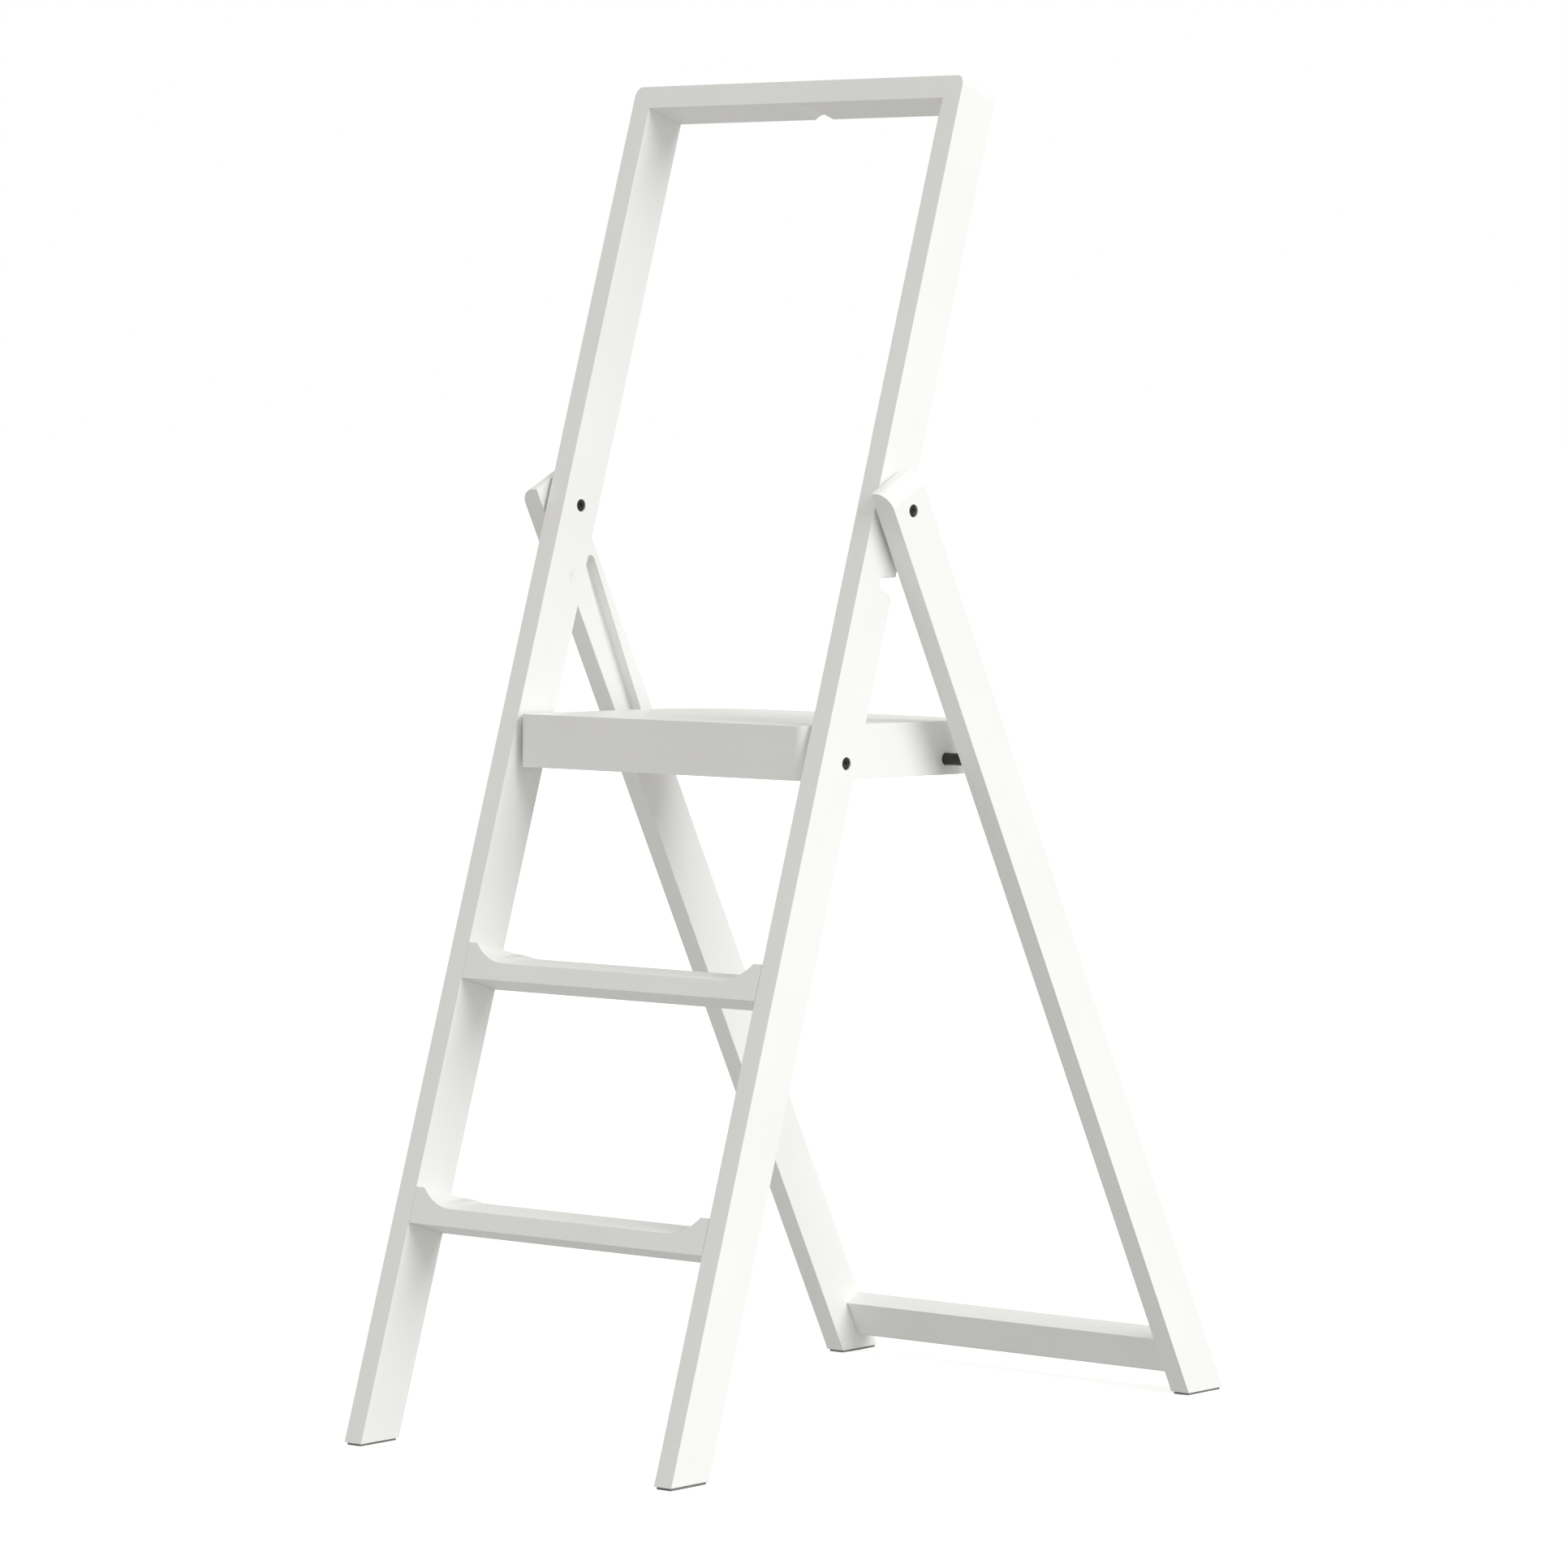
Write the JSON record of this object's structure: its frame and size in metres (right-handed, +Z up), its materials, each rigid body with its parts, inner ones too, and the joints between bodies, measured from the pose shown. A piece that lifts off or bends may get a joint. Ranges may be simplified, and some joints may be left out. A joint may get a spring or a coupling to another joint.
{
  "type": "folding step stool",
  "caption": "Folding wooden step stool with a leaning front frame, a grab handle loop, dished treads, a D-shaped platform and a rear frame that folds flat along the stiles.",
  "frame": {"origin": "on the floor, centred between the stiles and between the front toe and rear heel of the open stool", "axes": "+X to the user's right facing the stool from the front, +Y from front to rear, +Z up"},
  "size_m": [0.484, 0.8024, 1.3227],
  "materials": {
    "white_lacquer": "satin white lacquer",
    "beech": "sawn",
    "dark_steel": "satin black",
    "nylon": "matt",
    "glide_rubber": "matt"
  },
  "bodies": {
    "front_frame": {"left_stile": "white_lacquer", "right_stile": "white_lacquer", "handle_bar": "white_lacquer", "lower_tread": "white_lacquer", "upper_tread": "white_lacquer", "lower_tread_dowel_left_front": "beech", "lower_tread_dowel_left_rear": "beech", "lower_tread_dowel_right_front": "beech", "lower_tread_dowel_right_rear": "beech", "upper_tread_dowel_left_front": "beech", "upper_tread_dowel_left_rear": "beech", "upper_tread_dowel_right_front": "beech", "upper_tread_dowel_right_rear": "beech", "handle_dowel_left_front": "beech", "handle_dowel_left_rear": "beech", "handle_dowel_right_front": "beech", "handle_dowel_right_rear": "beech", "left_front_glide": "glide_rubber", "right_front_glide": "glide_rubber", "left_leg_bolt": "dark_steel", "left_leg_sleeve_nut": "dark_steel", "left_leg_spacer": "nylon", "right_leg_bolt": "dark_steel", "right_leg_sleeve_nut": "dark_steel", "right_leg_spacer": "nylon"},
    "rear_frame": {"left_rear_leg": "white_lacquer", "right_rear_leg": "white_lacquer", "rear_crossbar": "white_lacquer", "crossbar_dowel_left_upper": "beech", "crossbar_dowel_left_lower": "beech", "crossbar_dowel_right_upper": "beech", "crossbar_dowel_right_lower": "beech", "left_rear_glide": "glide_rubber", "right_rear_glide": "glide_rubber"},
    "platform": {"platform_rim": "white_lacquer", "platform_deck": "white_lacquer", "platform_rib_front": "white_lacquer", "platform_rib_rear": "white_lacquer", "platform_rod": "dark_steel", "left_platform_bolt": "dark_steel", "left_platform_insert": "dark_steel", "right_platform_bolt": "dark_steel", "right_platform_insert": "dark_steel", "left_platform_washer": "nylon", "right_platform_washer": "nylon"}
  },
  "joints": [
    {"name": "rear_frame_fold", "type": "hinge", "parent": "front_frame", "child": "rear_frame", "pos_m": [0, -0.07467, 0.90493], "axis": [-1, 0, 0], "range_deg": [0, 44.8]},
    {"name": "platform_fold", "type": "hinge", "parent": "front_frame", "child": "platform", "pos_m": [0, -0.14425, 0.66566], "axis": [1, 0, 0], "range_deg": [0, 73.01]}
  ],
  "couplings": [
    {"joint": "platform_fold", "follows": "rear_frame_fold", "ratio": 1.6295}
  ]
}
